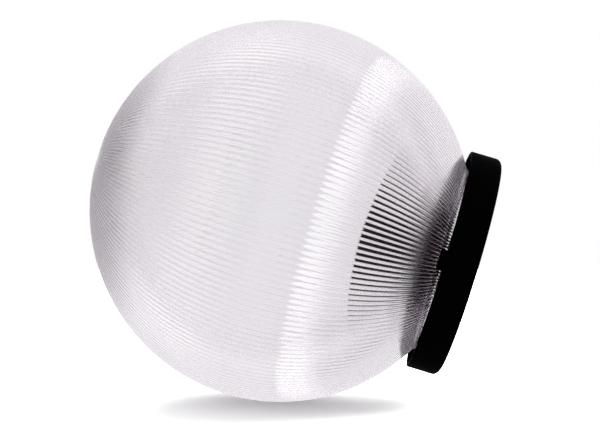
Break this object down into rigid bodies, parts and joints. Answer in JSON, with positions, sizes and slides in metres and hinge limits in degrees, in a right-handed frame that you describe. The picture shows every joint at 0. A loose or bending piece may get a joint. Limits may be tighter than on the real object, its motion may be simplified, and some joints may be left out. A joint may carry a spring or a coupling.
{
  "type": "prismatic globe luminaire",
  "caption": "Clear prismatic globe shade on a shallow round black base, with a screw lampholder, lamp and terminals inside, for a wall, ceiling or post.",
  "frame": {"origin": "centre of the flat back of the base", "axes": "+Z along the axis of the globe, from the back of the base towards the pole; -Y towards the index tab on the rim"},
  "size_m": [0.2, 0.2, 0.2033],
  "materials": {
    "black_plastic": "fine moulded texture",
    "clear_acrylic": "clear, prismatic outside",
    "black_rubber": "matte",
    "dark_bakelite": "satin",
    "white_ceramic": "unglazed",
    "nickel": "nickel plated",
    "brass": "bright",
    "zinc_steel": "zinc plated",
    "grey_polyamide": "matte",
    "brown_insulation": "satin",
    "blue_insulation": "satin",
    "solder": "dull",
    "dark_glass": "glossy",
    "clear_glass": "clear, smooth",
    "tungsten": "drawn wire"
  },
  "bodies": {
    "root": {"base": "black_plastic", "cable_grommet": "black_rubber", "lampholder_foot": "dark_bakelite", "lampholder_skirt": "dark_bakelite", "lampholder_insert": "white_ceramic", "screw_shell": "nickel", "centre_contact": "brass", "terminal_post_live": "brass", "terminal_post_neutral": "brass", "lampholder_screw_left": "zinc_steel", "lampholder_screw_right": "zinc_steel", "terminal_block": "grey_polyamide", "terminal_block_screw": "zinc_steel", "terminal_sleeve_live": "brass", "terminal_sleeve_neutral": "brass", "clamp_screw_live_inner": "zinc_steel", "clamp_screw_live_outer": "zinc_steel", "clamp_screw_neutral_inner": "zinc_steel", "clamp_screw_neutral_outer": "zinc_steel", "lead_live": "brown_insulation", "lead_neutral": "blue_insulation"},
    "seal": {"globe_seal": "black_rubber"},
    "shade": {"globe": "clear_acrylic"},
    "lamp_carrier": {"lamp_tip": "solder"},
    "lamp": {"lamp_insulator": "dark_glass", "lamp_cap": "nickel", "lamp_stem": "clear_glass", "lamp_filament": "tungsten", "lamp_bulb": "clear_glass"}
  },
  "joints": [
    {"name": "globe_lift", "type": "slide", "parent": "root", "child": "seal", "axis": [0, 0, 1], "range_m": [0, 0.145]},
    {"name": "globe_twist", "type": "hinge", "parent": "seal", "child": "shade", "pos_m": [0, 0, 0.1], "axis": [0, 0, -1], "range_deg": [0, 20]},
    {"name": "lamp_rise", "type": "slide", "parent": "root", "child": "lamp_carrier", "axis": [0, 0, 1], "range_m": [0, 0.0182]},
    {"name": "lamp_turn", "type": "hinge", "parent": "lamp_carrier", "child": "lamp", "pos_m": [0, 0, 0.06], "axis": [0, 0, 1], "range_deg": [0, 1800]}
  ],
  "couplings": [
    {"joint": "lamp_rise", "follows": "lamp_turn", "m_per_rad": 0.00057757}
  ]
}
